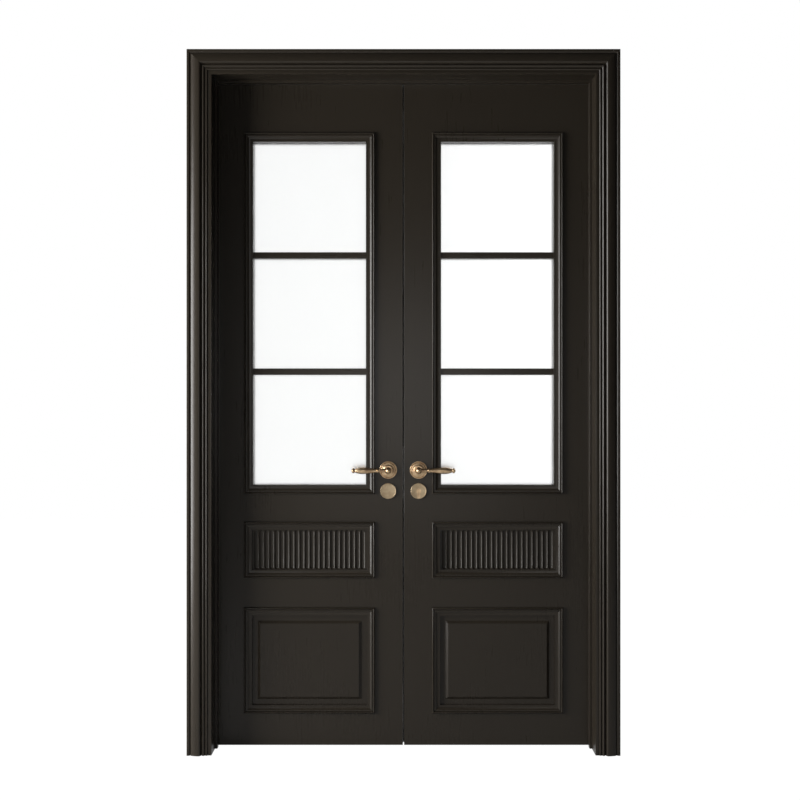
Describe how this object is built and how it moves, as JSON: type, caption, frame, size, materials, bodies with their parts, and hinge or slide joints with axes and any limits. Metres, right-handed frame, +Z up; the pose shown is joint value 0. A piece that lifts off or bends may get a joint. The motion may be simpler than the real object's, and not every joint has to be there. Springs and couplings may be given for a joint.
{
  "type": "glazed double doors with frame",
  "caption": "Glazed double doors in a moulded frame, with glazing bars, fluted and raised panels, lever handles, a lock and flush bolts.",
  "frame": {"origin": "centre of the foot of the frame, half way between the front casing's crest and the ends of the rear levers", "axes": "+X to the right as seen from the front, -Y out of the front face (the reveal side), +Z up"},
  "size_m": [1.46, 0.224, 2.36],
  "materials": {
    "frame_paint": "satin dark brown paint",
    "leaf_paint": "satin dark brown paint",
    "clear_glass": "clear float glass",
    "antique_brass": "antique satin",
    "aged_bronze": "aged, matter than the levers",
    "hinge_bronze": "aged bronze",
    "lock_steel": "brushed",
    "seal_rubber": "dark brown, matt"
  },
  "bodies": {
    "frame": {"casing_front_head": "frame_paint", "casing_front_left": "frame_paint", "casing_front_right": "frame_paint", "casing_rear_head": "frame_paint", "casing_rear_left": "frame_paint", "casing_rear_right": "frame_paint", "flush_bolt_keep": "lock_steel", "frame_seal": "seal_rubber", "hinge_frame_plates_left": "hinge_bronze", "hinge_frame_plates_right": "hinge_bronze", "jamb_head": "frame_paint", "jamb_left": "frame_paint", "jamb_right": "frame_paint", "stop_head": "frame_paint", "stop_left": "frame_paint", "stop_right": "frame_paint"},
    "leaf_left": {"escutcheons_left": "aged_bronze", "flush_bolt_housings": "lock_steel", "fluted_moulding_front_left": "leaf_paint", "fluted_moulding_rear_left": "leaf_paint", "fluted_panel_left": "leaf_paint", "glass_moulding_front_left": "leaf_paint", "glass_moulding_rear_left": "leaf_paint", "glass_pane_left": "clear_glass", "glazing_bars_left": "leaf_paint", "hinge_leaf_plates_left": "hinge_bronze", "leaf_slab_left": "leaf_paint", "raised_moulding_front_left": "leaf_paint", "raised_moulding_rear_left": "leaf_paint", "raised_panel_left": "leaf_paint", "roses_left": "antique_brass", "strike_plate": "lock_steel"},
    "leaf_right": {"escutcheons_right": "aged_bronze", "fluted_moulding_front_right": "leaf_paint", "fluted_moulding_rear_right": "leaf_paint", "fluted_panel_right": "leaf_paint", "glass_moulding_front_right": "leaf_paint", "glass_moulding_rear_right": "leaf_paint", "glass_pane_right": "clear_glass", "glazing_bars_right": "leaf_paint", "hinge_leaf_plates_right": "hinge_bronze", "leaf_slab_right": "leaf_paint", "lock_case": "lock_steel", "lock_cylinder": "antique_brass", "lock_forend": "lock_steel", "raised_moulding_front_right": "leaf_paint", "raised_moulding_rear_right": "leaf_paint", "raised_panel_right": "leaf_paint", "roses_right": "antique_brass"},
    "lever_left": {"levers_left": "antique_brass", "spindle_left": "lock_steel"},
    "lever_right": {"levers_right": "antique_brass", "spindle_right": "lock_steel"},
    "latch": {"latch_bolt": "lock_steel"},
    "deadbolt": {"dead_bolt": "lock_steel"},
    "thumb_turn": {"thumb_turn": "antique_brass"},
    "flush_upper": {"flush_bolt_upper": "lock_steel"},
    "flush_lower": {"flush_bolt_lower": "lock_steel"}
  },
  "joints": [
    {"name": "left_leaf_swing", "type": "hinge", "parent": "frame", "child": "leaf_left", "pos_m": [-0.6385, 0.06, 1.151], "axis": [0, 0, 1], "range_deg": [0, 110]},
    {"name": "right_leaf_swing", "type": "hinge", "parent": "frame", "child": "leaf_right", "pos_m": [0.6385, 0.06, 1.151], "axis": [0, 0, -1], "range_deg": [0, 110]},
    {"name": "left_lever_turn", "type": "hinge", "parent": "leaf_left", "child": "lever_left", "pos_m": [-0.05185, 0.0275, 0.945], "axis": [0, -1, 0], "range_deg": [0, 45], "stiffness_Nm_per_rad": 1.2, "springref_deg": -28.65},
    {"name": "right_lever_turn", "type": "hinge", "parent": "leaf_right", "child": "lever_right", "pos_m": [0.05185, 0.0275, 0.945], "axis": [0, 1, 0], "range_deg": [0, 45], "stiffness_Nm_per_rad": 1.2, "springref_deg": -28.65},
    {"name": "latch_slide", "type": "slide", "parent": "leaf_right", "child": "latch", "axis": [-1, 0, 0], "range_m": [0, 0.011]},
    {"name": "deadbolt_slide", "type": "slide", "parent": "leaf_right", "child": "deadbolt", "axis": [-1, 0, 0], "range_m": [0, 0.014]},
    {"name": "thumb_turn_spin", "type": "hinge", "parent": "leaf_right", "child": "thumb_turn", "pos_m": [0.05185, 0.056, 0.873], "axis": [0, 1, 0], "range_deg": [0, 90]},
    {"name": "flush_upper_slide", "type": "slide", "parent": "leaf_left", "child": "flush_upper", "axis": [0, 0, 1], "range_m": [0, 0.012]},
    {"name": "flush_lower_slide", "type": "slide", "parent": "leaf_left", "child": "flush_lower", "axis": [0, 0, -1], "range_m": [0, 0.012]}
  ],
  "couplings": [
    {"joint": "thumb_turn_spin", "follows": "deadbolt_slide", "rad_per_m": 112.2}
  ]
}
